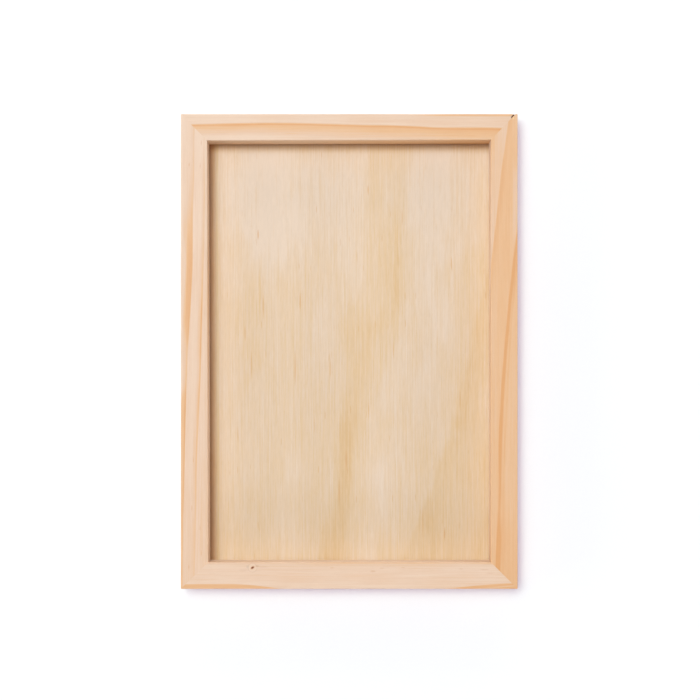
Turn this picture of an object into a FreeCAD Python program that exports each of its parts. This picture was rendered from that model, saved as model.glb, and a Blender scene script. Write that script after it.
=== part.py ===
"""Wooden panel frame for printmaking and bookbinding work, A4 format.

Four pine rails, mitred at the corners, stand on a three-ply plywood board that
closes the underside, so the object is a shallow open tray: a raised rim all
round and a flat wooden floor. The rails are glued and V-nailed at the mitres,
and the board is glued and pinned to the rails from below.

Frame: millimetres, +Z up. The origin is the centre of the underside. +Y runs
along the long side, towards the top rail; +X towards the right rail.
"""

import FreeCAD
import Part

import math
import os

# ---------------------------------------------------------------- dimensions
width = 210.0            # outside, along X
length = 296.0           # outside, along Y
height = 20.0            # underside of the board to the top of the rails

board_thickness = 3.0    # three-ply board
face_veneer = 0.8        # each of the two outer plies
core_veneer = board_thickness - 2.0 * face_veneer

# The four rails differ by a few tenths of a millimetre in plan width, and the
# left and top ones taper: (width at the first end, width at the second).
left_width = (17.1, 16.4)     # at the bottom mitre, at the top mitre
right_width = (16.7, 16.7)    # at the bottom mitre, at the top mitre
top_width = (16.5, 16.1)      # at the left mitre, at the right mitre
bottom_width = (16.6, 16.6)   # at the left mitre, at the right mitre
rail_depth = height - board_thickness

arris_top = 0.50         # sanded rounding of the rails' top and outer corner edges
arris_foot = 0.22        # easing where the rail meets the board
board_corner = 0.50      # rounding of the board's four corners, flush with the rails
board_arris = 0.25       # easing of the board's lower edge

open_mitre_shift = 1.4   # the top right mitre comes out this far left of the corner
open_mitre_gap = 0.55    # width of that joint's open mouth
open_mitre_run = 2.7     # length of the open part, along the joint
open_mitre_depth = 9.0   # the joint is closed again this far below the top

v_nail_wing = 4.6        # length of each wing, from the apex
v_nail_sheet = 0.45      # steel strip thickness
v_nail_lip = 0.8         # turned-in lip at each wing's end
v_nail_height = 10.0
v_nail_at = (0.30, 0.66)  # stations along each mitre, from the outer corner

pin_head_r = 1.1
pin_head_t = 0.45
pin_neck_t = 0.35
pin_shank_r = 0.6
pin_length = 12.0
pin_tip = 1.6
pin_set = 0.10           # heads are punched this far below the board's face
pins_long = (-108.0, -54.0, 0.0, 54.0, 108.0)   # stations along Y on the side rails
pins_short = (-44.0, 0.0, 44.0)                 # stations along X on the end rails

# ------------------------------------------------------------------- derived
hx, hy = width / 2.0, length / 2.0
z_foot = board_thickness
V = FreeCAD.Vector

# The corners of the opening, and the mitres' outer ends, in plan.
inner = {
    "tl": (-hx + left_width[1], hy - top_width[0]),
    "tr": (hx - right_width[1], hy - top_width[1]),
    "br": (hx - right_width[0], -hy + bottom_width[1]),
    "bl": (-hx + left_width[0], -hy + bottom_width[0]),
}
outer = {
    "tl": (-hx, hy),
    "tr": (hx - open_mitre_shift, hy),
    "br": (hx, -hy),
    "bl": (-hx, -hy),
}


def prism(points, z0, z1):
    """Upright prism on a closed plan polygon."""
    loop = [V(x, y, z0) for x, y in points]
    wire = Part.makePolygon(loop + [loop[0]])
    return Part.Face(wire).extrude(V(0, 0, z1 - z0))


def beyond(a, b, run):
    """The point that lies run past b on the line from a to b."""
    d = math.hypot(b[0] - a[0], b[1] - a[1])
    return (b[0] + (b[0] - a[0]) / d * run, b[1] + (b[1] - a[1]) / d * run)


def edges_where(shape, test):
    return [e for e in shape.Edges if test(e.BoundBox)]


def flat_at(box, z):
    return abs(box.ZMin - z) < 1e-6 and abs(box.ZMax - z) < 1e-6


# ------------------------------- the rim's outside, and stock for the rails
block = Part.makeBox(width, length, rail_depth, V(-hx, -hy, z_foot))
block = block.makeFillet(
    arris_top,
    edges_where(
        block,
        lambda b: flat_at(b, height) or (b.ZLength > rail_depth - 1e-6),
    ),
)
block = block.makeFillet(arris_foot, edges_where(block, lambda b: flat_at(b, z_foot)))


def bar(c0, c1, out):
    """Over-long stock for one rail: its inner face runs through two corners of the opening, with both long edges eased."""
    a, b = beyond(inner[c1], inner[c0], 40.0), beyond(inner[c0], inner[c1], 40.0)
    plan = [a, b, (b[0] + out[0] * 30.0, b[1] + out[1] * 30.0), (a[0] + out[0] * 30.0, a[1] + out[1] * 30.0)]
    solid = prism(plan, z_foot, height)
    mx, my = (a[0] + b[0]) / 2.0, (a[1] + b[1]) / 2.0

    def inner_edge(z):
        return [
            e
            for e in solid.Edges
            if flat_at(e.BoundBox, z) and math.hypot(e.CenterOfMass.x - mx, e.CenterOfMass.y - my) < 1.0
        ]

    solid = solid.makeFillet(arris_top, inner_edge(height))
    return solid.makeFillet(arris_foot, inner_edge(z_foot))


# -------------------------------------------------------- mitres, in plan
far = {c: beyond(inner[c], outer[c], 4.0) for c in outer}
near = {c: beyond(outer[c], inner[c], 4.0) for c in outer}


def rail(c0, c1, out, extra):
    """One rail, cut between two mitres. extra: plan points outside the rim, from c1's side to c0's."""
    plan = [near[c0], near[c1], far[c1], *extra, far[c0]]
    return block.common(bar(c0, c1, out)).common(prism(plan, z_foot - 1, height + 1))


left_rail = rail("bl", "tl", (-1, 0), [])
right_rail = rail("tr", "br", (1, 0), [(hx + 6, -hy - 6), (hx + 6, hy + 6)])
top_rail = rail("tl", "tr", (0, 1), [])
bottom_rail = rail("br", "bl", (0, -1), [])

# The top right mitre never closed at its outer end: a thin sliver is missing
# from the top rail's tip, widest at the top and closing downwards.
tr_out, tr_in = outer["tr"], inner["tr"]
d = math.hypot(tr_out[0] - tr_in[0], tr_out[1] - tr_in[1])
ux, uy = (tr_out[0] - tr_in[0]) / d, (tr_out[1] - tr_in[1]) / d
wedge_in = (tr_out[0] - ux * open_mitre_run, tr_out[1] - uy * open_mitre_run)
wedge_out = beyond(wedge_in, tr_out, 0.8)
k = (open_mitre_run + 0.8) / open_mitre_run
wedge_off = (wedge_out[0] - uy * open_mitre_gap * k, wedge_out[1] + ux * open_mitre_gap * k)


def sliver(a, b, c, z_top, z_low):
    """Tetrahedron with the plan triangle a, b, c at z_top and its fourth corner below b."""
    p, q, r, s = V(*a, z_top), V(*b, z_top), V(*c, z_top), V(*b, z_low)
    faces = [Part.Face(Part.makePolygon([i, j, m, i])) for i, j, m in ((p, q, r), (p, q, s), (q, r, s), (r, p, s))]
    solid = Part.makeSolid(Part.makeShell(faces))
    if solid.Volume < 0:
        solid.reverse()
    return solid


# carried on above the top face, so that it has its full size there
up = open_mitre_depth / (open_mitre_depth + 1.0)
grown = lambda q: (wedge_out[0] + (q[0] - wedge_out[0]) / up, wedge_out[1] + (q[1] - wedge_out[1]) / up)
wedge = sliver(grown(wedge_in), wedge_out, grown(wedge_off), height + 1.0, height - open_mitre_depth)
top_rail = top_rail.cut(wedge)


# ------------------------------------------------------------------ V-nails
def v_nail(apex, along_x, along_y):
    """Right-angled strip whose apex points at the frame's outer corner; along_x and along_y are the signs of its wings."""
    x, y = apex
    sx, sy = along_x, along_y
    t, a, lip = v_nail_sheet, v_nail_wing, v_nail_lip
    q = lip / math.sqrt(2.0)
    n = t / math.sqrt(2.0)
    plan = [
        (x, y),
        (x + sx * a, y),
        (x + sx * (a + q), y + sy * q),
        (x + sx * (a + q - n), y + sy * (q + n)),
        (x + sx * (a - t * (math.sqrt(2.0) - 1.0)), y + sy * t),
        (x + sx * t, y + sy * t),
        (x + sx * t, y + sy * (a - t * (math.sqrt(2.0) - 1.0))),
        (x + sx * (q + n), y + sy * (a + q - n)),
        (x + sx * q, y + sy * (a + q)),
        (x, y + sy * a),
    ]
    return prism(plan, z_foot, z_foot + v_nail_height)


nails = []
for c, sx, sy in (("tl", 1, -1), ("tr", -1, -1), ("br", -1, 1), ("bl", 1, 1)):
    o, i = outer[c], inner[c]
    for f in v_nail_at:
        nails.append(
            v_nail((o[0] + (i[0] - o[0]) * f, o[1] + (i[1] - o[1]) * f), sx, sy)
        )


# --------------------------------------------------------------- panel pins
def pin_profile(grow):
    """Revolved pin on the Z axis; grow carries the head's seat down through the board's face."""
    z0 = 0.0 if grow else pin_set
    z_head = pin_set + pin_head_t
    z_neck = z_head + pin_neck_t
    z_end = pin_set + pin_length
    pts = [
        V(0, 0, z0 - (1.0 if grow else 0.0)),
        V(pin_head_r, 0, z0 - (1.0 if grow else 0.0)),
        V(pin_head_r, 0, z_head),
        V(pin_shank_r, 0, z_neck),
        V(pin_shank_r, 0, z_end - pin_tip),
        V(0, 0, z_end),
    ]
    face = Part.Face(Part.makePolygon(pts + [pts[0]]))
    return face.revolve(V(0, 0, 0), V(0, 0, 1), 360)


mid = 8.2   # the pins stand this far in from the outer faces, mid-way across the rails
stations = [(-hx + mid, y) for y in pins_long] + [(hx - mid, y) for y in pins_long]
stations += [(x, hy - mid) for x in pins_short] + [(x, -hy + mid) for x in pins_short]
pin, seat = pin_profile(False), pin_profile(True)
pins, seats = [], []
for x, y in stations:
    p, s = pin.copy(), seat.copy()
    p.translate(V(x, y, 0))
    s.translate(V(x, y, 0))
    pins.append(p)
    seats.append(s)


# --------------------------------------------------------- three-ply board
def ply(z0, z1):
    b = Part.makeBox(width, length, z1 - z0, V(-hx, -hy, z0))
    return b.makeFillet(board_corner, edges_where(b, lambda e: e.ZLength > 1e-3))


outer_veneer = ply(0.0, face_veneer)
outer_veneer = outer_veneer.makeFillet(
    board_arris, edges_where(outer_veneer, lambda b: flat_at(b, 0.0))
)
core = ply(face_veneer, face_veneer + core_veneer)
inner_veneer = ply(face_veneer + core_veneer, board_thickness)


def minus(shape, tools):
    """shape with the tools that reach it taken out."""
    hit = [t for t in tools if shape.BoundBox.intersect(t.BoundBox)]
    return shape.cut(hit) if hit else shape


parts = {
    "left_rail": minus(minus(left_rail, nails), seats),
    "right_rail": minus(minus(right_rail, nails), seats),
    "top_rail": minus(minus(top_rail, nails), seats),
    "bottom_rail": minus(minus(bottom_rail, nails), seats),
    "inner_veneer": minus(inner_veneer, seats),
    "core_veneer": minus(core, seats),
    "outer_veneer": minus(outer_veneer, seats),
    "corner_v_nails": Part.makeCompound(nails),
    "panel_pins": Part.makeCompound(pins),
}

os.makedirs("parts", exist_ok=True)
for name, shape in parts.items():
    solids = shape.Solids
    assert solids and shape.isValid(), name
    out = solids[0] if len(solids) == 1 else Part.makeCompound(solids)
    out.exportStep("parts/%s.step" % name)
    b = out.BoundBox
    print(
        "%-16s solids %2d  volume %10.2f mm3  box %.2f %.2f %.2f .. %.2f %.2f %.2f"
        % (name, len(solids), out.Volume, b.XMin, b.YMin, b.ZMin, b.XMax, b.YMax, b.ZMax)
    )
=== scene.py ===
"""Looks for the wooden panel frame: four mitred pine rails on a three-ply board.

Everything is worked out in millimetres in the row's frame and written in metres.
"""

import math

import bpy
import numpy as np
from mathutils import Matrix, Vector


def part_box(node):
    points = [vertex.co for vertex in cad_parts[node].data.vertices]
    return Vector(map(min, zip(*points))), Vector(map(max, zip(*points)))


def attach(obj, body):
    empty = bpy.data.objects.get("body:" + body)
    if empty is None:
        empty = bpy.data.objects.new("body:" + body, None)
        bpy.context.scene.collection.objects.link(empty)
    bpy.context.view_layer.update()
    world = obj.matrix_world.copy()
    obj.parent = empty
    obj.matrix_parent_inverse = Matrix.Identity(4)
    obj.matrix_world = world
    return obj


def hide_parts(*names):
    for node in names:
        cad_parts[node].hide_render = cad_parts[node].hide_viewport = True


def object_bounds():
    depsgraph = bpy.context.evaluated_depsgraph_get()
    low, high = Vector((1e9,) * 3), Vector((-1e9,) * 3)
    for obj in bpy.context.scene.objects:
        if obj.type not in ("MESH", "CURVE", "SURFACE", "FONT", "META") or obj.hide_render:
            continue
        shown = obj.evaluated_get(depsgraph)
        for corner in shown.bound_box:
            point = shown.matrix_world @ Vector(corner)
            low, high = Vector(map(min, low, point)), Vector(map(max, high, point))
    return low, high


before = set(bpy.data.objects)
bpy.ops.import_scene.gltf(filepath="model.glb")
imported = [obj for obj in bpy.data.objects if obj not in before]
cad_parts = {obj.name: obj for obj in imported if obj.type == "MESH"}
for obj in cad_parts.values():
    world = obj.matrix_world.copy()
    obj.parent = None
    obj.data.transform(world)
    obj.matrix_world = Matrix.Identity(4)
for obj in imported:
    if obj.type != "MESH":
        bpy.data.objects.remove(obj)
cad_low, cad_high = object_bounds()

# ------------------------------------------------------------------ sizes, mm
HX = round(cad_high[0] * 1000.0, 1)
HY = round(cad_high[1] * 1000.0, 1)
TOP = cad_high[2] * 1000.0
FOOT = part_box("left_rail")[0][2] * 1000.0
CORE_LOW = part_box("core_veneer")[0][2] * 1000.0
CORE_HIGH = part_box("core_veneer")[1][2] * 1000.0
RAIL = 16.5  # nominal: the true widths follow from the corners of the opening
NOSE = 1.4  # how far left of the corner the top right mitre comes out
SLIT_RUN, SLIT_GAP, SLIT_DEPTH = 3.4, 0.80, 2.2
OUTER = {"tl": (-HX, HY), "tr": (HX - NOSE, HY), "br": (HX, -HY), "bl": (-HX, -HY)}
INNER = {"tl": (-HX + 16.4, HY - 16.5), "tr": (HX - 16.7, HY - 16.1), "br": (HX - 16.7, -HY + 16.6), "bl": (-HX + 17.1, -HY + 16.6)}

# The light that falls on a level face, against a pure white one: colours taken
# from lit wood are divided by it to get the wood's own colour.
LIGHT = 1.38
GLINT = 0.020  # the part of a lit colour that is sheen, not the wood's own


# --------------------------------------------------------------- small helpers
def lin(c):
    c = c / 255.0
    return c / 12.92 if c <= 0.04045 else ((c + 0.055) / 1.055) ** 2.4


def tone(r, g, b, light=LIGHT):
    """A colour as it looks when lit, 0 to 255, as the surface's own linear colour."""
    return tuple(max(lin(c) - (GLINT if light > 1.0 else 0.0), 0.0) / light for c in (r, g, b)) + (1.0,)


def smooth_rows(a, sigma, axis):
    """Gaussian smoothing of an array along one axis, edges held."""
    if sigma <= 0:
        return a
    n = int(max(1, round(sigma * 3)))
    k = np.exp(-0.5 * (np.arange(-n, n + 1) / sigma) ** 2)
    k /= k.sum()
    pad = [(0, 0)] * a.ndim
    pad[axis] = (n, n)
    b = np.pad(a, pad, mode="edge")
    return np.apply_along_axis(lambda v: np.convolve(v, k, mode="valid"), axis, b)


def field(rng, shape, sigmas):
    """Smoothed noise from 0 to 1 on a grid."""
    a = rng.normal(size=shape)
    for ax, s in enumerate(sigmas):
        a = smooth_rows(a, s, ax)
    a = (a - a.mean()) / (a.std() + 1e-9)
    return np.clip(0.5 + a / 5.0, 0.0, 1.0)


# ------------------------------------------------------------- material nodes
class Net:
    """Short names for the nodes of one material."""

    def __init__(self, name):
        self.mat = bpy.data.materials.new(name)
        self.mat.use_nodes = True
        self.t = self.mat.node_tree
        self.t.nodes.clear()
        self.out = self.t.nodes.new("ShaderNodeOutputMaterial")
        self.bsdf = self.t.nodes.new("ShaderNodeBsdfPrincipled")
        self.t.links.new(self.bsdf.outputs[0], self.out.inputs[0])

    def put(self, socket, value):
        if isinstance(value, bpy.types.NodeSocket):
            self.t.links.new(value, socket)
        else:
            socket.default_value = value

    def m(self, op, *args, clamp=False):
        n = self.t.nodes.new("ShaderNodeMath")
        n.operation = op
        n.use_clamp = clamp
        for s, a in zip(n.inputs, args):
            self.put(s, a)
        return n.outputs[0]

    def add(self, a, b):
        return self.m("ADD", a, b)

    def sub(self, a, b):
        return self.m("SUBTRACT", a, b)

    def mul(self, a, b):
        return self.m("MULTIPLY", a, b)

    def total(self, *terms):
        s = terms[0]
        for x in terms[1:]:
            s = self.add(s, x)
        return s

    def step(self, lo, hi, x, kind="SMOOTHSTEP"):
        """0 below lo, 1 above hi."""
        n = self.t.nodes.new("ShaderNodeMapRange")
        n.interpolation_type = kind
        n.clamp = True
        self.put(n.inputs["Value"], x)
        self.put(n.inputs["From Min"], lo)
        self.put(n.inputs["From Max"], hi)
        return n.outputs["Result"]

    def position(self):
        """X, Y and Z of the surface point, in millimetres."""
        tc = self.t.nodes.new("ShaderNodeTexCoord")
        sep = self.t.nodes.new("ShaderNodeSeparateXYZ")
        self.t.links.new(tc.outputs["Object"], sep.inputs[0])
        return [self.mul(sep.outputs[i], 1000.0) for i in range(3)]

    def vec(self, x, y, z):
        n = self.t.nodes.new("ShaderNodeCombineXYZ")
        for s, a in zip(n.inputs, (x, y, z)):
            self.put(s, a)
        return n.outputs[0]

    def noise(self, p, freq, seed, detail=2.0, rough=0.5, distort=0.0):
        """Noise with its own frequency, per mm, along each axis; about 0 to 1, middle 0.5."""
        v = self.vec(
            self.add(self.mul(p[0], freq[0]), seed * 7.31),
            self.add(self.mul(p[1], freq[1]), seed * 3.77),
            self.add(self.mul(p[2], freq[2]), seed * 5.13),
        )
        n = self.t.nodes.new("ShaderNodeTexNoise")
        self.t.links.new(v, n.inputs["Vector"])
        n.inputs["Scale"].default_value = 1.0
        n.inputs["Detail"].default_value = detail
        n.inputs["Roughness"].default_value = rough
        n.inputs["Distortion"].default_value = distort
        return n.outputs["Fac"]

    def wander(self, p, freq, seed, size, **kw):
        """Noise centred on 0, reaching about size each way."""
        return self.mul(self.sub(self.noise(p, freq, seed, **kw), 0.5), size * 3.2)

    def dashes(self, p, freq, seed, reach, share, soft=0.5):
        """Short marks along the grain: 1 on a mark, 0 off it. share of the cells carry one."""
        v = self.vec(
            self.add(self.mul(p[0], freq[0]), seed * 5.9),
            self.add(self.mul(p[1], freq[1]), seed * 8.3),
            self.add(self.mul(p[2], freq[2]), seed * 2.7),
        )
        n = self.t.nodes.new("ShaderNodeTexVoronoi")
        n.feature = "F1"
        self.t.links.new(v, n.inputs["Vector"])
        n.inputs["Scale"].default_value = 1.0
        n.inputs["Randomness"].default_value = 1.0
        sep = self.t.nodes.new("ShaderNodeSeparateColor")
        self.t.links.new(n.outputs["Color"], sep.inputs[0])
        chosen = self.m("LESS_THAN", sep.outputs[0], share)
        near = self.sub(1.0, self.step(reach * soft, reach, n.outputs["Distance"]))
        return self.mul(self.mul(near, chosen), self.add(0.45, self.mul(sep.outputs[1], 0.55)))

    def curve(self, x, points):
        """A smooth curve through (x, y) points, flat beyond its ends."""
        xs = [a for a, _ in points]
        ys = [b for _, b in points]
        x0, x1 = min(xs), max(xs)
        y0, y1 = min(ys), max(ys)
        if y1 - y0 < 1e-9:
            return self.add(self.mul(x, 0.0), y0)
        n = self.t.nodes.new("ShaderNodeFloatCurve")
        c = n.mapping.curves[0]
        pts = sorted(points)
        while len(c.points) < len(pts):
            c.points.new(0.5, 0.5)
        for q, (a, b) in zip(c.points, pts):
            q.location = ((a - x0) / (x1 - x0), (b - y0) / (y1 - y0))
            q.handle_type = "AUTO_CLAMPED"
        n.mapping.extend = "HORIZONTAL"
        n.mapping.update()
        self.put(n.inputs["Value"], self.step(x0, x1, x, "LINEAR"))
        return self.add(self.mul(n.outputs[0], y1 - y0), y0)

    def ramp(self, x, stops):
        n = self.t.nodes.new("ShaderNodeValToRGB")
        r = n.color_ramp
        r.interpolation = "LINEAR"
        while len(r.elements) < len(stops):
            r.elements.new(0.5)
        for e, (pos, col) in zip(r.elements, sorted(stops, key=lambda s: s[0])):
            e.position = pos
            e.color = col
        self.put(n.inputs["Fac"], x)
        return n.outputs["Color"]

    def mix(self, fac, a, b, kind="MIX"):
        n = self.t.nodes.new("ShaderNodeMix")
        n.data_type = "RGBA"
        n.blend_type = kind
        self.put(n.inputs["Factor"], fac)
        self.put(n.inputs["A"], a)
        self.put(n.inputs["B"], b)
        return n.outputs["Result"]

    def bump(self, height, distance, strength=1.0):
        n = self.t.nodes.new("ShaderNodeBump")
        n.inputs["Strength"].default_value = strength
        n.inputs["Distance"].default_value = distance
        self.put(n.inputs["Height"], height)
        return n.outputs["Normal"]

    def shade(self, col, p, freq, seed, depth):
        """Lightens and darkens a colour a little, in fine short streaks."""
        g = self.add(1.0, self.mul(self.sub(self.noise(p, freq, seed, detail=2.0, rough=0.6), 0.5), depth))
        return self.mix(1.0, col, self.vec(g, g, g), "MULTIPLY")

    def spot(self, u, v, at, half_u, half_v):
        """1 at a point, falling to 0 over an oval of those half sizes."""
        a = self.mul(self.sub(u, at[0]), 1.0 / half_u)
        b = self.mul(self.sub(v, at[1]), 1.0 / half_v)
        d = self.m("SQRT", self.add(self.mul(a, a), self.mul(b, b)))
        return self.sub(1.0, self.step(0.25, 1.0, d))


# Pine from its palest earlywood (0) to its darkest latewood (1).
PINE = [
    (0.00, tone(245, 220, 198)),
    (0.20, tone(240, 209, 182)),
    (0.58, tone(240, 197, 154)),
    (0.82, tone(237, 187, 139)),
    (1.00, tone(234, 177, 121)),
]


def pine_finish(n, t, p, u_freq, seed):
    """Colour, gloss and relief of raw sanded pine; t says how much latewood. p is ordered (along, across, up)."""
    fine = n.noise(p, (u_freq * 0.05, 5.5, 5.5), seed + 1, detail=3.0, rough=0.6)
    streak = n.noise(p, (u_freq * 0.022, 1.5, 1.5), seed + 2, detail=2.0)
    blotch = n.noise(p, (0.03, 0.16, 0.16), seed + 3, detail=1.0)
    marks = n.dashes(p, (0.11, 1.5, 1.5), seed + 4, 0.26, 0.16)
    # the upright faces, which the photograph hides, are guessed: cut across the rings, they show them as narrow lines
    upright = n.step(TOP - 0.7, TOP - 1.4, p[2])
    narrow = n.noise(p, (0.007, 0.25, 0.95), seed + 6, detail=3.0, rough=0.62)
    narrow = n.mul(n.sub(n.step(0.40, 0.62, narrow), 0.5), n.mul(upright, 0.30))
    t = n.total(
        narrow,
        n.add(n.mul(n.sub(t, 0.30), 1.14), 0.30),
        n.mul(n.sub(fine, 0.5), 0.42),
        n.mul(n.sub(streak, 0.5), 0.38),
        n.mul(n.sub(blotch, 0.5), 0.24),
        n.mul(marks, 0.12),
    )
    t = n.m("MAXIMUM", t, 0.0)
    t = n.m("MINIMUM", t, 1.0)
    col = n.shade(n.ramp(t, PINE), p, (0.20, 1.1, 1.1), seed + 9, 0.07)
    n.put(n.bsdf.inputs["Roughness"], n.add(0.60, n.add(n.mul(t, -0.10), n.mul(n.sub(fine, 0.5), 0.22))))
    n.bsdf.inputs["Specular IOR Level"].default_value = 0.32
    pores = n.noise(p, (u_freq * 0.12, 9.0, 9.0), seed + 5, detail=2.0, rough=0.65)
    h = n.total(n.mul(pores, 0.55), n.mul(fine, 0.5), n.mul(t, 0.5), n.mul(marks, -0.5))
    n.put(n.bsdf.inputs["Normal"], n.bump(h, 0.00006, 0.8))
    return t, col


def band(n, d, amount, core, fade, lead=(-0.35, 0.35)):
    """A growth ring's latewood. d runs back from its sharp edge, in mm: full over core, then thinning out over fade."""
    rise = n.step(lead[0], lead[1], d)
    fall = n.sub(1.0, n.step(core, n.add(core, fade), d, "LINEAR"))
    return n.mul(n.mul(rise, fall), amount)


def open_joint(n, col, p):
    """Painted shade and a painted highlight: the faces inside the open end of the top right mitre are painted dark
    brown, and beside it a pale spot is painted.
    """
    x, y, z = p
    (x0, y0), (x1, y1) = OUTER["tr"], INNER["tr"]
    run = math.hypot(x1 - x0, y1 - y0)
    ux, uy = (x0 - x1) / run, (y0 - y1) / run
    along = n.add(n.mul(n.sub(x, x0), ux), n.mul(n.sub(y, y0), uy))
    off = n.m("ABSOLUTE", n.add(n.mul(n.sub(x, x0), uy), n.mul(n.sub(y, y0), -ux)))
    near = n.mul(n.step(-4.3, -3.7, along), n.sub(1.0, n.step(0.95, 1.15, off)))
    # only inside the slit: not on the outer face, and no deeper than the slit goes
    near = n.mul(near, n.mul(n.step(HY - 0.03, HY - 0.12, y), n.step(TOP - SLIT_DEPTH - 0.9, TOP - SLIT_DEPTH - 0.5, z)))
    # painted shade: the faces inside the slit are painted dark brown, standing in for the shade deep in the narrow gap
    col = n.mix(n.mul(n.mul(near, n.step(TOP - 0.10, TOP - 0.42, z)), 0.97), col, tone(120, 56, 24))
    # painted highlight: the pale spot on the side rail's tip
    painted_tip_highlight = n.spot(y, x, (145.3, 102.35), 0.80, 0.62)
    return n.mix(n.mul(painted_tip_highlight, n.step(TOP - 0.5, TOP - 0.2, z)), col, tone(255, 226, 168))


# ---- left rail -------------------------------------------------------------
def left_pine():
    n = Net("pine_left")
    x, y, z = n.position()
    wob = n.wander((y, x, z), (0.035, 0.10, 0.10), 1, 0.22, detail=2.0)
    lean = n.mul(n.sub(TOP, z), 0.42)
    v = n.total(x, wob, lean, -0.50)
    f1 = n.curve(y, [(-142, -104.4), (-111, -104.0), (-74, -103.1), (-44, -102.55), (-14, -101.5),
                     (1, -101.0), (16, -100.1), (31, -99.3), (46, -98.5), (63, -98.1), (81, -98.0), (108, -97.2), (138, -96.8)])
    f2 = n.curve(y, [(-139, -97.0), (-104, -96.1), (-74, -95.6), (-44, -94.6), (-14, -93.25),
                     (16, -92.4), (46, -91.5), (61, -91.1), (81, -90.7), (106, -90.4), (123, -90.7)])
    a1 = n.curve(y, [(-142, 0.36), (-110, 0.38), (-80, 0.36), (-44, 0.44), (-30, 0.44), (-16, 0.22), (-2, 0.26), (6, 0.42),
                     (16, 0.55), (31, 0.60), (62, 0.60), (76, 0.54), (86, 0.42), (96, 0.28), (112, 0.20), (130, 0.18)])
    w1 = n.curve(y, [(-142, 6.0), (-60, 6.0), (-38, 4.0), (-26, 1.6), (-14, 0.5), (2, 0.6), (12, 1.6), (24, 2.7), (62, 2.9), (76, 2.0), (92, 0.6), (130, 0.0)])
    e1 = n.curve(y, [(-142, 2.0), (10, 2.4), (50, 1.6), (66, 2.6), (84, 5.5), (130, 6.5)])
    a2 = n.curve(y, [(-139, 0.10), (-104, 0.16), (-89, 0.18), (-74, 0.26), (-44, 0.34), (-28, 0.36), (-14, 0.26), (1, 0.44),
                     (16, 0.46), (31, 0.34), (46, 0.20), (60, 0.22), (78, 0.26), (104, 0.20), (123, 0.10)])
    d1 = n.sub(f1, v)
    d2 = n.sub(f2, v)
    base = n.curve(y, [(-142, 0.22), (-100, 0.20), (-60, 0.15), (-20, 0.11), (10, 0.12), (46, 0.15), (80, 0.06), (142, 0.04)])
    ring1 = band(n, d1, a1, w1, e1)
    # the darkest thread of the first ring lies right at its edge
    thread = n.mul(n.mul(n.step(-0.2, 0.3, d1), n.sub(1.0, n.step(0.6, 1.3, d1))), n.curve(y, [(-142, 0.10), (-74, 0.20), (-44, 0.28), (-16, 0.16), (10, 0.06), (70, 0.02), (96, 0.10), (140, 0.10)]))
    ring2 = band(n, d2, a2, 0.30, 2.6, (-0.45, 0.30))
    thread2 = n.mul(n.mul(n.step(-0.35, 0.15, d2), n.sub(1.0, n.step(0.45, 1.2, d2))), n.curve(y, [(-135, 0.06), (-90, 0.10), (-50, 0.16), (0, 0.22), (40, 0.20), (60, 0.08), (120, 0.04)]))
    ring3 = band(n, n.sub(n.add(f2, 7.4), v), n.mul(n.step(19.6, 18.4, z), 0.34), 0.5, 4.0)
    # painted shade: the inner upright face, turned from the key light, is made a trace darker
    wall = n.mul(n.mul(n.step(-89.2, -88.5, x), n.step(19.6, 18.9, z)), 0.02)
    ring0 = band(n, n.sub(n.sub(f1, 9.0), v), 0.5, 1.0, 4.5)
    lines = n.mul(n.mul(n.step(0.52, 0.74, n.noise((y, v, z), (0.006, 1.35, 0.2), 8, detail=1.0)), 0.16),
                  n.mul(n.step(0.0, 2.0, n.sub(v, f2)), n.step(20.0, -30.0, y)))
    edge = n.mul(n.mul(n.step(-90.8, -89.0, x), 0.10), n.step(18.0, 19.6, z))
    ys = n.add(y, n.wander((x, y, z), (0.9, 0.5, 0.5), 66, 0.9))
    specks = n.total(
        n.spot(ys, x, (116.3, -99.8), 2.4, 0.50), n.spot(ys, x, (130.0, -92.2), 1.8, 0.40),
        n.spot(ys, x, (116.0, -92.9), 2.2, 0.36), n.spot(ys, x, (-67.7, -97.2), 2.6, 0.34),
        n.spot(ys, x, (-97.7, -98.1), 2.8, 0.42), n.spot(ys, x, (-134.5, -100.0), 2.4, 0.50),
        n.spot(ys, x, (-125.7, -92.2), 2.2, 0.42), n.spot(ys, x, (-110.0, -93.0), 2.2, 0.32),
    )
    specks = n.mul(specks, n.step(19.0, 19.6, z))
    t = n.total(base, ring1, thread, ring2, thread2, ring3, ring0, lines, edge, wall, n.mul(specks, 0.14))
    t, col = pine_finish(n, t, (y, x, z), 1.0, 11)
    col = n.mix(n.mul(specks, 0.24), col, tone(214, 146, 118))
    n.put(n.bsdf.inputs["Base Color"], col)
    return n.mat


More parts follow.
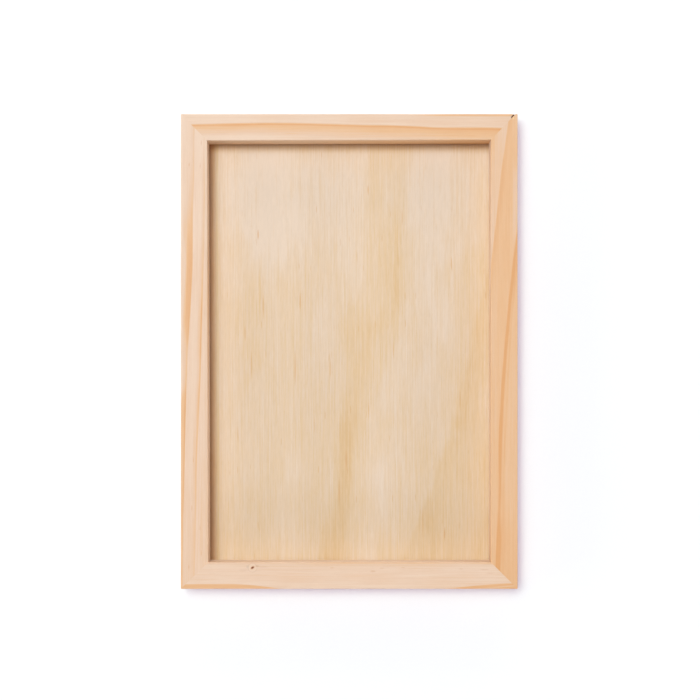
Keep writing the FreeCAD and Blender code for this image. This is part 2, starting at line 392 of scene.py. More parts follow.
# ---- right rail ------------------------------------------------------------
def right_pine():
    n = Net("pine_right")
    x, y, z = n.position()
    wob = n.wander((y, x, z), (0.035, 0.10, 0.10), 2, 0.22, detail=2.0)
    lean = n.mul(n.sub(TOP, z), -0.36)
    v = n.total(x, wob, lean)
    fa = n.curve(y, [(20, 84.5), (48, 87.8), (62, 89.4), (76, 91.05), (91, 92.6), (104, 94.1), (123, 96.5), (143, 99.3), (150, 100.4)])
    fb = n.curve(y, [(-135, 91.0), (-119, 91.6), (-104, 92.3), (-89, 92.9), (-59, 93.25), (-29, 94.5), (1, 96.7), (16, 98.0), (31, 99.4), (46, 101.1), (61, 102.6), (81, 105.0), (100, 107.2)])
    fc = n.curve(y, [(-110, 95.7), (-74, 95.9), (-44, 97.1), (-14, 98.7), (20, 100.7), (38, 102.5), (56, 104.2), (75, 106.4)])
    fb = n.add(fb, 0.45)
    fa = n.add(fa, -0.20)
    da, db, dc = n.sub(v, fa), n.sub(v, fb), n.sub(v, n.add(fc, 0.3))
    past_a = n.step(-0.35, 0.35, da)
    base = n.add(0.30, n.mul(past_a, n.curve(y, [(-140, 0.34), (-115, 0.30), (-90, 0.25), (-30, 0.26), (30, 0.26), (100, 0.28), (146, 0.28)])))
    ring_a = n.mul(past_a, n.mul(n.sub(1.0, n.step(0.8, 3.6, da)), n.curve(y, [(40, 0.10), (90, 0.13), (122, 0.10), (143, 0.10)])))
    ab = n.curve(y, [(-135, 0.34), (-121, 0.48), (-108, 0.36), (-89, 0.34), (-74, 0.38), (-59, 0.54), (-14, 0.66), (16, 0.64), (46, 0.54), (70, 0.42), (90, 0.32)])
    wb = n.curve(y, [(-135, 2.6), (-118, 2.2), (-104, 1.0), (-60, 0.9), (20, 0.9), (60, 1.2)])
    ring_b = n.mul(n.mul(n.step(-0.95, 0.15, db), n.sub(1.0, n.step(0.35, n.add(wb, 1.2), db))), ab)
    ac = n.curve(y, [(-110, 0.05), (-89, 0.13), (-59, 0.17), (-30, 0.11), (0, 0.18), (20, 0.13), (45, 0.18), (70, 0.16)])
    ring_c = n.mul(n.mul(n.step(-0.7, 0.05, dc), n.sub(1.0, n.step(0.2, 1.2, dc))), ac)
    # between the second and third rings, and in the outer strip at the top, the wood is paler
    outer_pale = n.mul(n.step(100.6, 103.0, v), n.curve(y, [(46, 0.0), (70, -0.12), (88, -0.25), (104, -0.29), (116, -0.14), (128, -0.08), (148, -0.12)]))
    wide_pale = n.mul(n.mul(n.step(1.5, 4.0, db), -0.05), n.step(-115.0, -70.0, y))
    inner_pale = n.mul(n.mul(n.sub(1.0, n.step(91.0, 92.4, x)), n.step(18.0, 19.5, z)), n.mul(n.step(50.0, 30.0, y), -0.05))
    ring_d = n.mul(band(n, n.sub(n.sub(v, fb), 9.0), 0.25, 0.6, 3.0), n.step(19.6, 18.0, z))
    stain = n.mul(n.add(n.mul(n.sub(1.0, n.step(1.2, 3.4, db)), 0.12), n.mul(n.sub(1.0, n.step(5.0, 9.0, db)), 0.06)),
                  n.mul(n.step(-0.2, 1.2, db), n.step(-98.0, -114.0, y)))
    # painted light: the inner upright face, turned to the key light, is made paler
    wall = n.mul(n.mul(n.step(89.0, 88.4, x), n.step(19.6, 18.9, z)), -0.22)
    ring_e = n.mul(band(n, n.sub(n.sub(v, fa), -9.5), 0.30, 0.6, 5.0), n.sub(1.0, past_a))
    lines = n.mul(n.step(0.50, 0.75, n.noise((y, v, z), (0.007, 1.2, 0.2), 9, detail=1.0)), 0.07)
    marks = n.mul(n.dashes((y, v, z), (0.06, 0.8, 0.8), 31, 0.22, 0.20), n.mul(n.step(0.8, 2.0, db), 0.22))
    t = n.total(base, ring_a, ring_b, ring_c, ring_d, ring_e, outer_pale, wide_pale, inner_pale, lines, marks, stain, wall)
    t, col = pine_finish(n, t, (y, x, z), 1.0, 23)
    n.put(n.bsdf.inputs["Base Color"], open_joint(n, col, (x, y, z)))
    return n.mat


# ---- top rail --------------------------------------------------------------
def top_pine():
    n = Net("pine_top")
    x, y, z = n.position()
    wob = n.wander((x, y, z), (0.035, 0.10, 0.10), 3, 0.18, detail=2.0)
    lean = n.mul(n.sub(TOP, z), 0.30)
    v = n.total(y, wob, lean, 0.50)
    f1 = n.curve(x, [(-100, 142.1), (-78, 142.6), (-63, 142.8), (-48, 142.95), (-33, 142.85), (-18, 142.5), (-3, 142.05),
                     (12, 141.7), (27, 141.45), (42, 140.9), (57, 140.2), (72, 140.05), (87, 140.0), (97, 139.7)])
    d = n.sub(f1, v)
    base = n.curve(x, [(-100, 0.04), (-60, 0.06), (0, 0.10), (60, 0.13), (100, 0.17)])
    a1 = n.curve(x, [(-100, 0.60), (-40, 0.66), (0, 0.62), (40, 0.62), (60, 0.66), (97, 0.68)])
    ring1 = band(n, d, a1, 0.5, n.curve(x, [(-100, 7.6), (0, 8.6), (60, 9.6), (100, 11.5)]), (-0.65, 0.80))
    outer = n.mul(n.mul(n.step(146.1, 147.2, n.add(y, n.mul(wob, 0.5))), n.step(34.0, 62.0, x)), 0.46)
    thread = n.mul(n.mul(n.step(-0.1, 0.7, d), n.sub(1.0, n.step(0.9, 1.9, d))), 0.20)
    # painted shade: the inner upright face, turned from the key light, is made darker and more orange
    wall = n.mul(n.mul(n.step(132.6, 132.0, y), n.step(19.6, 18.9, z)), 0.22)
    ring2 = band(n, n.sub(n.sub(f1, 11.5), v), 0.45, 0.4, 6.0)
    ring0 = n.mul(band(n, n.sub(n.add(f1, 7.5), v), 0.5, 0.6, 2.6), n.step(20.0, 18.6, z))
    lines = n.mul(n.step(0.50, 0.76, n.noise((x, v, z), (0.007, 1.3, 0.2), 12, detail=1.0)), 0.07)
    marks = n.mul(n.dashes((x, v, z), (0.045, 0.9, 0.9), 33, 0.24, 0.22), n.mul(n.step(0.5, 2.0, d), 0.16))
    t = n.total(base, ring1, outer, thread, ring2, ring0, lines, marks, wall)
    t, col = pine_finish(n, t, (x, y, z), 1.0, 37)
    n.put(n.bsdf.inputs["Base Color"], open_joint(n, col, (x, y, z)))
    return n.mat


# ---- bottom rail -----------------------------------------------------------
def bottom_pine():
    n = Net("pine_bottom")
    x, y, z = n.position()
    knot = (-60.3, -134.75)
    ku = n.sub(x, knot[0])
    kv = n.sub(y, knot[1])
    kd = n.m("SQRT", n.add(n.mul(n.mul(ku, ku), 0.42), n.mul(kv, kv)))
    swell = n.mul(n.mul(n.sub(1.0, n.step(0.0, 5.0, kd)), kv), 0.55)
    wob = n.wander((x, y, z), (0.03, 0.10, 0.10), 4, 0.2, detail=2.0)
    lean = n.mul(n.sub(TOP, z), -0.45)
    v = n.total(y, wob, lean, n.mul(swell, -1.0))
    f1 = n.curve(x, [(-104, -145.1), (-79, -145.0), (-65, -145.4), (-56, -146.1), (-46, -147.3), (-30, -149.4), (0, -150.6),
                     (32, -150.2), (50, -149.0), (56, -148.3), (70, -146.9), (83, -145.6), (93, -144.9), (104, -144.4)])
    d = n.sub(f1, v)
    base = 0.15
    a1 = n.curve(x, [(-104, 0.54), (-50, 0.58), (0, 0.55), (60, 0.60), (104, 0.58)])
    # painted light: the inner upright face, turned to the key light, is made paler
    wall = n.mul(n.mul(n.step(-132.1, -131.5, y), n.step(19.6, 18.9, z)), -0.22)
    ring1 = band(n, d, a1, 6.0, 8.0, (-0.4, 0.45))
    gap = n.mul(n.mul(n.step(1.1, 1.5, n.add(d, n.curve(x, [(70, -1.2), (104, 0.2)]))), n.sub(1.0, n.step(1.9, 2.4, n.add(d, n.curve(x, [(70, -1.2), (104, 0.2)]))))), n.mul(n.step(76.0, 88.0, x), -0.30))
    inner = n.mul(n.step(-134.4, -131.6, n.add(y, n.mul(wob, 1.5))), n.curve(x, [(-95, 0.05), (-60, 0.10), (-30, 0.14), (0, 0.20), (50, 0.20), (90, 0.26)]))
    inner = n.mul(inner, n.step(17.0, 19.4, z))
    ring2 = n.mul(band(n, n.sub(n.add(f1, 13.0), v), 0.34, 0.6, 5.0), n.step(19.6, 17.0, z))
    lines = n.mul(n.step(0.50, 0.78, n.noise((x, v, z), (0.006, 1.2, 0.2), 15, detail=1.0)), 0.07)
    near_line = n.wander((x, y, z), (0.010, 0.8, 0.8), 55, 0.03, detail=1.0)
    yf = n.add(y, n.wander((x, y, z), (0.5, 0.9, 0.5), 67, 0.14))
    flecks = n.total(
        n.spot(x, yf, (-10.7, -134.9), 2.0, 0.45), n.spot(x, yf, (20.4, -135.1), 2.2, 0.45), n.spot(x, yf, (33.5, -134.7), 1.8, 0.40),
        n.spot(x, yf, (69.7, -135.5), 2.0, 0.45), n.spot(x, yf, (84.5, -135.9), 4.0, 0.50), n.spot(x, yf, (14.8, -137.0), 2.2, 0.9),
        n.spot(x, yf, (87.5, -138.2), 3.6, 0.30),
    )
    flecks = n.mul(flecks, n.step(19.0, 19.6, z))
    t = n.total(base, ring1, gap, inner, ring2, lines, near_line, wall, n.mul(flecks, 0.12))
    t, col = pine_finish(n, t, (x, n.sub(y, swell), z), 1.0, 41)
    # the pin knot: a slanted dark heart, a pale collar inside a thin ring, smoky tails either side
    on_top = n.step(19.0, 19.6, z)
    round_ = n.add(n.m("SQRT", n.add(n.mul(ku, ku), n.mul(kv, kv))), n.wander((x, y, z), (0.7, 0.7, 0.7), 61, 0.12))
    collar = n.mul(n.step(0.9, 1.5, round_), n.sub(1.0, n.step(2.0, 2.7, round_)))
    col = n.mix(n.mul(n.mul(collar, 0.50), on_top), col, tone(247, 224, 198))
    ring = n.sub(1.0, n.step(0.10, 0.42, n.m("ABSOLUTE", n.sub(round_, 2.75))))
    col = n.mix(n.mul(n.mul(ring, 0.26), on_top), col, tone(206, 174, 156))
    ring_ = n.sub(1.0, n.step(0.10, 0.35, n.m("ABSOLUTE", n.sub(round_, 1.75))))
    col = n.mix(n.mul(n.mul(ring_, 0.14), on_top), col, tone(210, 176, 152))
    for at, hu, hv, k, c in (((-57.4, -133.8), 1.9, 0.85, 0.42, (206, 162, 136)), ((-53.6, -134.2), 4.6, 0.9, 0.20, (214, 172, 150)),
                             ((-63.4, -134.2), 1.2, 1.5, 0.30, (204, 180, 172)), ((-66.0, -136.3), 4.2, 1.2, 0.22, (218, 180, 156))):
        col = n.mix(n.mul(n.mul(n.spot(x, y, at, hu, hv), k), on_top), col, tone(*c))
    ca, sa = math.cos(0.60), math.sin(0.60)
    ka = n.mul(n.add(n.mul(ku, ca), n.mul(kv, sa)), 1.0 / 1.20)
    kb = n.mul(n.sub(n.mul(kv, ca), n.mul(ku, sa)), 1.0 / 0.72)
    heart_d = n.add(n.m("SQRT", n.add(n.mul(ka, ka), n.mul(kb, kb))), n.wander((x, y, z), (1.4, 1.4, 1.4), 62, 0.10))
    col = n.mix(n.mul(n.sub(1.0, n.step(0.9, 1.6, heart_d)), n.mul(on_top, 0.55)), col, tone(226, 164, 118))
    heart = n.mul(n.sub(1.0, n.step(0.50, 1.12, heart_d)), n.step(10.0, 19.0, z))
    col = n.mix(n.mul(heart, 0.95), col, tone(126, 66, 40))
    col = n.mix(n.mul(flecks, 0.20), col, tone(210, 164, 140))
    n.put(n.bsdf.inputs["Base Color"], col)
    return n.mat


# ---- plywood ---------------------------------------------------------------
VENEER = [
    (0.00, tone(243, 223, 202)),
    (0.25, tone(240, 216, 188)),
    (0.60, tone(237, 209, 172)),
    (1.00, tone(233, 199, 153)),
]


def veneer_finish(n, t, p, seed, deep=1.0):
    """Rotary-cut face veneer; p is ordered (along the grain, across it, up)."""
    fine = n.noise(p, (0.11, 2.6, 2.6), seed + 1, detail=3.0, rough=0.65)
    streak = n.noise(p, (0.022, 0.8, 0.8), seed + 2, detail=2.0, rough=0.55)
    knife = n.m("SINE", n.add(n.mul(p[1], 4.1), n.mul(n.noise(p, (0.01, 0.12, 0.1), seed + 6, detail=1.0), 16.0)))
    cloud = n.noise(p, (0.022, 0.055, 0.05), seed + 3, detail=3.0, rough=0.55, distort=0.4)
    pores = n.dashes(p, (0.16, 1.15, 1.15), seed + 4, 0.24, 0.26)
    vessels = n.dashes(p, (0.055, 0.55, 0.55), seed + 5, 0.17, 0.22)
    t = n.total(
        t,
        n.mul(n.sub(fine, 0.5), 0.85 * deep),
        n.mul(n.sub(streak, 0.5), 0.90 * deep),
        n.mul(knife, 0.05 * deep),
        n.mul(n.sub(cloud, 0.5), 0.75 * deep),
        n.mul(pores, 0.26 * deep),
        n.mul(vessels, 0.44 * deep),
    )
    t = n.m("MAXIMUM", t, 0.0)
    t = n.m("MINIMUM", t, 1.0)
    col = n.ramp(t, VENEER)
    col = n.mix(n.mul(vessels, 0.20 * deep), col, tone(222, 156, 108))
    col = n.shade(col, p, (0.20, 0.95, 0.95), seed + 9, 0.11)
    n.put(n.bsdf.inputs["Roughness"], n.add(0.62, n.mul(n.sub(fine, 0.5), 0.25)))
    n.bsdf.inputs["Specular IOR Level"].default_value = 0.30
    h = n.total(n.mul(fine, 0.6), n.mul(n.noise(p, (0.3, 7.0, 7.0), seed + 8, detail=2.0), 0.5), n.mul(pores, -0.8), n.mul(vessels, -0.8), n.mul(knife, 0.06))
    n.put(n.bsdf.inputs["Normal"], n.bump(h, 0.00006, 0.8))
    return t, col


def floor_veneer():
    """The tray's floor: long flames run down the board and lean to the left."""
    n = Net("plywood_inner_face")
    x, y, z = n.position()
    soft = n.wander((y, x, z), (0.02, 0.06, 0.05), 71, 3.4, detail=3.0, rough=0.6)
    fine = n.wander((y, x, z), (0.05, 0.5, 0.05), 72, 1.1, detail=2.0)
    v = n.total(x, soft, fine)
    left1 = n.curve(y, [(-130, -19.8), (-97, -14.3), (-64, -9.8), (-30, -4.4), (-8, -2.2), (8, -3.2), (19, -4.3), (26, -1.0), (36, 7.5), (59, 11.0), (90, 10.8), (132, 11.3)])
    right1 = n.curve(y, [(-130, -0.5), (-88, 3.5), (-61, 12.5), (-26, 19.0), (1, 29.0), (19, 37.0), (72, 37.0), (132, 41.0)])
    core1 = n.curve(y, [(-130, -10.0), (-112, -8.0), (-84, -5.2), (-64, -2.2), (-43, 1.0), (-17, 5.0), (10, 16.0), (30, 27.0), (60, 29.5), (132, 30.0)])
    left2 = n.curve(y, [(-130, 35.0), (-113, 40.8), (-97, 47.5), (-83, 52.5), (-74, 55.0), (-56, 61.5), (-34, 67.5), (-3, 74.0), (26, 78.5), (50, 87.0), (80, 94.0)])
    b1 = n.mul(n.step(-1.5, 2.5, n.sub(v, left1)), n.sub(1.0, n.step(-4.0, 2.5, n.sub(v, right1))))
    c1 = n.sub(1.0, n.step(1.5, 8.0, n.m("ABSOLUTE", n.sub(v, core1))))
    b2 = n.step(-1.5, 3.0, n.sub(v, left2))
    b2_core = n.mul(b2, n.sub(1.0, n.step(3.0, 22.0, n.sub(v, left2))))
    down = n.curve(y, [(-132, 0.50), (-112, 0.46), (-90, 0.39), (-60, 0.37), (-20, 0.34), (20, 0.29), (60, 0.24), (100, 0.17), (132, 0.17)])
    pale = n.mul(n.mul(n.spot(y, x, (95.0, -50.0), 62.0, 34.0), -1.0), 0.24)
    ledge = n.mul(n.spot(y, v, (14.0, 10.0), 13.0, 24.0), 0.08)
    light_lane = n.mul(n.mul(n.step(2.0, 12.0, n.sub(v, right1)), n.sub(1.0, n.step(18.0, 34.0, n.sub(v, right1)))), -0.16)
    tan_left = n.mul(n.spot(y, x, (22.0, -60.0), 46.0, 12.0), 0.14)
    right_tan = n.mul(n.step(60.0, 84.0, x), n.curve(y, [(-132, 0.02), (-20, 0.10), (60, 0.16), (132, 0.12)]))
    thread = n.total(
        n.mul(n.spot(y, v, (56.0, 29.4), 46.0, 1.7), 0.28), n.mul(n.spot(y, v, (100.0, 49.0), 34.0, 1.5), 0.20),
        n.mul(n.spot(y, v, (-66.0, 1.6), 30.0, 1.6), 0.22), n.mul(n.spot(y, v, (40.0, -55.6), 26.0, 1.4), 0.24),
        n.mul(n.spot(y, v, (-20.0, -64.0), 24.0, 1.5), 0.18),
    )
    # single dark vessels, seen as thin dashes: (x, y, length, how dark), mm
    vessel = None
    for vx, vy, size, k in ((-31.0, 32.1, 13.0, 0.9), (-34.3, -10.3, 22.5, 1.0), (-57.7, 74.5, 7.0, 1.2), (-2.0, -68.3, 13.0, 0.9),
                            (-6.4, -88.3, 17.5, 0.7), (64.7, 56.4, 9.0, 0.8), (-12.0, -10.3, 13.0, 0.6), (12.0, 102.6, 7.0, 0.8),
                            (12.3, -37.1, 12.5, 0.6), (27.9, 0.9, 12.0, 0.6), (-61.9, -7.8, 17.0, 0.7), (-54.4, 29.0, 15.5, 0.7),
                            (60.4, -115.1, 9.0, 1.1), (46.6, -108.2, 22.0, 0.5), (33.5, 85.0, 11.0, 0.6), (-66.0, 12.0, 10.0, 0.6),
                            (70.2, -30.0, 14.0, 0.5), (5.0, 60.0, 9.0, 0.4), (-22.0, -46.0, 12.0, 0.5), (-70.5, -52.0, 11.0, 0.5)):
        one = n.mul(n.spot(y, n.add(x, n.mul(fine, 0.12)), (vy, vx), size * 0.62, 0.62), k)
        vessel = one if vessel is None else n.add(vessel, one)
    t = n.total(
        down, n.mul(b1, 0.17), n.mul(c1, n.curve(y, [(-130, 0.22), (-60, 0.26), (-20, 0.14), (30, 0.12), (132, 0.10)])),
        n.mul(b2, 0.16), n.mul(b2_core, 0.09), pale, light_lane, tan_left, right_tan, ledge, thread, n.mul(vessel, 0.40),
    )
    t, col = veneer_finish(n, t, (y, x, z), 73, 1.0)
    col = n.mix(n.mul(vessel, 0.34), col, tone(224, 158, 100))
    # painted light and shade: the board is made a few percent lighter towards the top end and the left side, and a
    # little darker elsewhere
    # a correction of a few percent: where the photographed board is lighter or darker than these lamps make this one
    painted_light_lift = n.add(n.curve(y, [(-132, 0.012), (-114, -0.004), (-83, 0.014), (-27, -0.004), (22, 0.012), (75, 0.038), (111, 0.060), (132, 0.060)]),
                 n.curve(x, [(-88, 0.052), (-74, 0.052), (-64, 0.032), (-48, 0.032), (-30, 0.0), (-15, -0.020), (0, -0.006), (14, 0.012), (40, 0.0), (65, 0.010), (78, -0.004), (88, 0.020)]))
    g = n.add(1.0, painted_light_lift)
    col = n.mix(1.0, col, n.vec(g, g, g), "MULTIPLY")
    # shading painted on, not cast: beside the left and top rails the photographed shadow is deeper and warmer than these lamps cast
    from_left = n.sub(x, n.add(n.mul(y, (INNER["tl"][0] - INNER["bl"][0]) / (INNER["tl"][1] - INNER["bl"][1])), (INNER["tl"][0] + INNER["bl"][0]) / 2.0))
    from_top = n.sub((INNER["tl"][1] + INNER["tr"][1]) / 2.0, y)
    col = n.mix(1.0, col, n.ramp(n.mul(from_left, 0.1), [(0.0, (0.62, 0.45, 0.35, 1)), (0.14, (0.79, 0.615, 0.485, 1)), (0.27, (0.895, 0.755, 0.595, 1)), (0.39, (0.885, 0.82, 0.725, 1)),
                                                            (0.52, (0.93, 0.918, 0.79, 1)), (0.64, (0.96, 0.95, 0.945, 1)), (0.77, (0.98, 0.985, 0.985, 1)), (1.0, (1, 1, 1, 1))]), "MULTIPLY")
    col = n.mix(1.0, col, n.ramp(n.mul(from_top, 0.125), [(0.0, (0.60, 0.46, 0.355, 1)), (0.25, (0.785, 0.66, 0.525, 1)), (0.50, (0.96, 0.90, 0.79, 1)), (0.78, (1, 1, 1, 1))]), "MULTIPLY")
    # and the same, much fainter, beside the other two rails
    from_right = n.sub(INNER["br"][0], x)
    from_foot = n.sub(y, INNER["bl"][1])
    for away, most in ((from_right, (0.945, 0.950, 0.955, 1)), (from_foot, (0.955, 0.960, 0.950, 1))):
        col = n.mix(1.0, col, n.ramp(n.mul(away, 0.1), [(0.0, most), (0.35, (0.975, 0.985, 0.985, 1)), (1.0, (1, 1, 1, 1))]), "MULTIPLY")
    n.put(n.bsdf.inputs["Base Color"], ply_edge(n, col, (x, y, z), "y", 1))
    return n.mat


def ply_edge(n, col, p, grain, seed):
    """On the sawn edges the ply shows side grain along its length and darker end grain across it."""
    x, y, z = p
    across = n.m("ABSOLUTE", x) if grain == "x" else n.m("ABSOLUTE", y)
    limit = HX if grain == "x" else HY
    end = n.step(limit - 0.12, limit - 0.04, across)
    other = x if grain == "y" else y
    speck = n.noise((other, z, across), (2.2, 3.0, 0.5), seed + 81, detail=3.0, rough=0.7)
    lump = n.noise((other, z, across), (0.12, 0.4, 0.1), seed + 82, detail=2.0)
    end_col = n.mix(n.step(0.35, 0.72, speck), tone(214, 172, 126), tone(168, 118, 76))
    end_col = n.mix(n.mul(n.sub(lump, 0.3), 0.5), end_col, tone(226, 188, 146))
    return n.mix(end, col, end_col)


def under_veneer():
    n = Net("plywood_outer_face")
    x, y, z = n.position()
    v = n.total(x, n.wander((y, x, z), (0.012, 0.04, 0.05), 91, 9.0, detail=3.0, rough=0.6))
    centre = n.curve(y, [(-148, 22.0), (-60, 8.0), (20, -14.0), (90, -30.0), (148, -38.0)])
    spread = n.m("ABSOLUTE", n.sub(v, centre))
    arch = n.add(spread, n.mul(n.m("ABSOLUTE", n.sub(y, 12.0)), 0.16))
    rings = n.m("FRACT", n.mul(arch, 1.0 / 19.0))
    late = n.mul(n.step(0.35, 0.93, rings), n.sub(1.0, n.step(0.93, 1.0, rings)))
    t = n.add(0.22, n.mul(late, 0.42))
    t, col = veneer_finish(n, t, (y, x, z), 93, 1.0)
    n.put(n.bsdf.inputs["Base Color"], ply_edge(n, col, (x, y, z), "y", 3))
    return n.mat


def core_ply():
    """The middle ply: grain along X, so the long sides show its end grain."""
    n = Net("plywood_core")
    x, y, z = n.position()
    t = n.add(0.55, n.wander((x, y, z), (0.01, 0.05, 0.4), 101, 0.2))
    t, col = veneer_finish(n, t, (x, y, z), 103, 1.2)
    n.put(n.bsdf.inputs["Base Color"], ply_edge(n, col, (x, y, z), "x", 5))
    return n.mat


# ---- steel -----------------------------------------------------------------
def steel(name, seed, base, rough):
    n = Net(name)
    x, y, z = n.position()
    fine = n.noise((x, y, z), (3.0, 3.0, 3.0), seed, detail=4.0, rough=0.6)
    drawn = n.noise((x, y, z), (14.0, 14.0, 1.2), seed + 1, detail=2.0)
    tint = n.ramp(fine, [(0.25, tone(*[c * 0.82 for c in base], 1.0)), (0.60, tone(*base, 1.0)), (0.85, tone(*[min(255, c * 1.08) for c in base], 1.0))])
    n.put(n.bsdf.inputs["Base Color"], tint)
    n.bsdf.inputs["Metallic"].default_value = 1.0
    n.put(n.bsdf.inputs["Roughness"], n.add(rough - 0.1, n.add(n.mul(fine, 0.16), n.mul(drawn, 0.12))))
    n.put(n.bsdf.inputs["Normal"], n.bump(n.add(n.mul(drawn, 0.6), n.mul(fine, 0.4)), 0.00002, 0.8))
    return n.mat


# ------------------------------------------------------------------ rail meshes
def levels(parts):
    """Sorted unique levels from a list of lists."""
    a = sorted({round(v, 4) for part in parts for v in part})
    return np.array(a)


EDGE = [0.0, 0.06, 0.12, 0.19, 0.27, 0.36, 0.46, 0.58, 0.75]


def o_levels():
    mid = np.arange(0.95, RAIL - 0.9, 0.25)
    return levels([EDGE, [RAIL - e for e in EDGE], mid, [NOSE]])


def z_levels():
    mid = np.arange(FOOT + 1.2, TOP - 0.9, 0.6)
    foot = [FOOT + e for e in (0.0, 0.05, 0.11, 0.17, 0.25, 0.5, 0.8)]
    return levels([foot, [TOP - e for e in EDGE], mid])


def t_levels(length):
    near = [0.0, 0.05, 0.1, 0.16, 0.23, 0.31, 0.4, 0.5, 0.62, 0.78, 1.0, 1.3, 1.7, 2.2, 2.8, 3.5, 4.3]
    mid = np.arange(5.2, length - 5.0, 1.0)
    a = levels([near, [length - e for e in near], mid])
    return a / length


def slit_gap(o, z):
    """How far the top rail's tip stands back from the top right mitre, along X, at offset o from its outer face and height z."""
    (x0, y0), (x1, y1) = OUTER["tr"], INNER["tr"]
    run = math.hypot(x1 - x0, y1 - y0)
    down = (y0 - y1) / run
    along = o / down
    wide = SLIT_GAP * (0.72 + 0.28 * (1.0 - along / SLIT_RUN)) * np.clip((SLIT_RUN - along) / 0.45, 0.0, 1.0) ** 0.6
    deep = np.clip((z - (TOP - SLIT_DEPTH - 0.35)) / 0.35, 0.0, 1.0)
    return wide / down * deep


# for each side: the corners its two ends meet at, and how to read a plan point as (across, along)
SIDES = {
    "left": ("bl", "tl", lambda q: (q[0] + HX, q[1])),
    "right": ("br", "tr", lambda q: (HX - q[0], q[1])),
    "top": ("tl", "tr", lambda q: (HY - q[1], q[0])),
    "bottom": ("bl", "br", lambda q: (q[1] + HY, q[0])),
}


def rail_mesh(name, side, seed):
    """A rail as one closed mesh: a grid of offset o, station t and height z, wrapped round the block, then eased and worn."""
    rng = np.random.default_rng(seed)
    O, Z = o_levels(), z_levels()
    length = 2 * HY if side in ("left", "right") else 2 * HX
    T = t_levels(length)
    no, nt, nz = len(O), len(T), len(Z)
    o = O[:, None, None] * np.ones((1, nt, nz))
    t = T[None, :, None] * np.ones((no, 1, nz))
    z = Z[None, None, :] * np.ones((no, nt, 1))
    c0, c1, read = SIDES[side]
    (w0, i0), (w1, i1) = read(INNER[c0]), read(INNER[c1])
    wide = w0 + (w1 - w0) * t
    spread = np.clip((o - 3.0) / (RAIL - 6.0), 0.0, 1.0)
    across = o + (wide - RAIL) * spread

    def mitre(c, w, i):
        at = o + (w - RAIL) * spread
        first, start = read(OUTER[c])
        return start + (i - start) * np.maximum(at - first, 0.0) / (w - first)

    lo, hi = mitre(c0, w0, i0), mitre(c1, w1, i1)
    if side == "top":
        ragged = 1.0 + 0.22 * (field(rng, (no, nz), (1.5, 2.5)) - 0.5)[:, None, :]
        hi = hi - slit_gap(o, z) * ragged
    u = lo + (hi - lo) * t
    wall = RAIL - o

    # wear: the arrises are sanded by hand, a little more here and a little less there
    window = np.clip(np.minimum(T, 1 - T) * length / 14.0, 0, 1) ** 1.5
    vary = lambda: (smooth_rows(rng.normal(size=nt), 9.0, 0) * 3.2) * window
    r_out = (0.50 * (1 + np.clip(0.22 * vary(), -0.3, 0.5)))[None, :, None]
    r_in = (0.45 * (1 + np.clip(0.26 * vary(), -0.35, 0.5)))[None, :, None]
    r_out = r_out * np.ones_like(o)
    r_in = r_in * np.ones_like(o)

    # inner top arris
    a, b = np.maximum(r_in - wall, 0), np.maximum(r_in - (TOP - z), 0)
    far, m = np.hypot(a, b), np.maximum(a, b)
    k = np.where(far > 0, m / np.maximum(far, 1e-9), 1.0)
    wall2 = np.where(a > 0, r_in - a * k, wall)
    z2 = np.where(b > 0, TOP - (r_in - b * k), z)
    o2 = RAIL - wall2

    # eased feet, inside and outside
    rf = 0.22
    for which in ("in", "out"):
        w = (RAIL - o2) if which == "in" else o2
        a, b = np.maximum(rf - w, 0), np.maximum(rf - (z2 - FOOT), 0)
        far, m = np.hypot(a, b), np.maximum(a, b)
        k = np.where(far > 0, m / np.maximum(far, 1e-9), 1.0)
        w = np.where(a > 0, rf - a * k, w)
        z2 = np.where(b > 0, FOOT + (rf - b * k), z2)
        o2 = RAIL - w if which == "in" else w

    # faces that are not quite flat: low waves and raised fibres, always inwards
    slow = field(rng, (no, nt), (14, 26)) * 0.05 + field(rng, (no, nt), (1.1, 22)) * 0.030
    side_out = field(rng, (nz, nt), (6, 26)) * 0.05 + field(rng, (nz, nt), (0.9, 22)) * 0.030
    side_in = field(rng, (nz, nt), (6, 26)) * 0.05 + field(rng, (nz, nt), (0.9, 22)) * 0.030
    edge_o = np.clip(np.minimum(O, RAIL - O) / 0.9, 0.35, 1.0)[:, None]
    z2[:, :, -1] -= slow * edge_o * (0.25 + 0.75 * window[None, :])
    keep = (0.15 + 0.85 * window)[:, None]
    o2[0, :, :] += side_out.T * keep
    o2[-1, :, :] -= side_in.T * keep

    o2 = o2 + (across - o)
    if side == "left":
        x, y = -HX + o2, u
    elif side == "right":
        x, y = HX - o2, u
    elif side == "top":
        x, y = u, HY - o2
    else:
        x, y = u, -HY + o2

    # outer arris and the block's upright corners
    p = np.stack([x, y, z2], axis=-1)
    lim = np.stack([HX - r_out, HY - r_out, TOP - r_out], axis=-1)
    q = np.clip(p, np.stack([-lim[..., 0], -lim[..., 1], np.full_like(r_out, -1e3)], -1), lim)
    v = p - q
    m = np.abs(v).max(-1)
    far = np.linalg.norm(v, axis=-1)
    k = np.where(far > 0, m / np.maximum(far, 1e-9), 1.0)
    p = q + v * k[..., None]

    # the joints: a hairline where two rails meet
    near = np.minimum(T, 1 - T) * length
    dip = 0.045 * np.exp(-((near / 0.16) ** 2))
    p[:, :, -1, 2] -= dip[None, :]

    # wrap the six faces
    index = -np.ones((no, nt, nz), int)
    skin = np.zeros((no, nt, nz), bool)
    skin[0], skin[-1] = True, True
    skin[:, 0], skin[:, -1] = True, True
    skin[:, :, 0], skin[:, :, -1] = True, True
    index[skin] = np.arange(skin.sum())
    verts = p[skin] / 1000.0

    def quads(g):
        return np.stack([g[:-1, :-1], g[1:, :-1], g[1:, 1:], g[:-1, 1:]], -1).reshape(-1, 4)

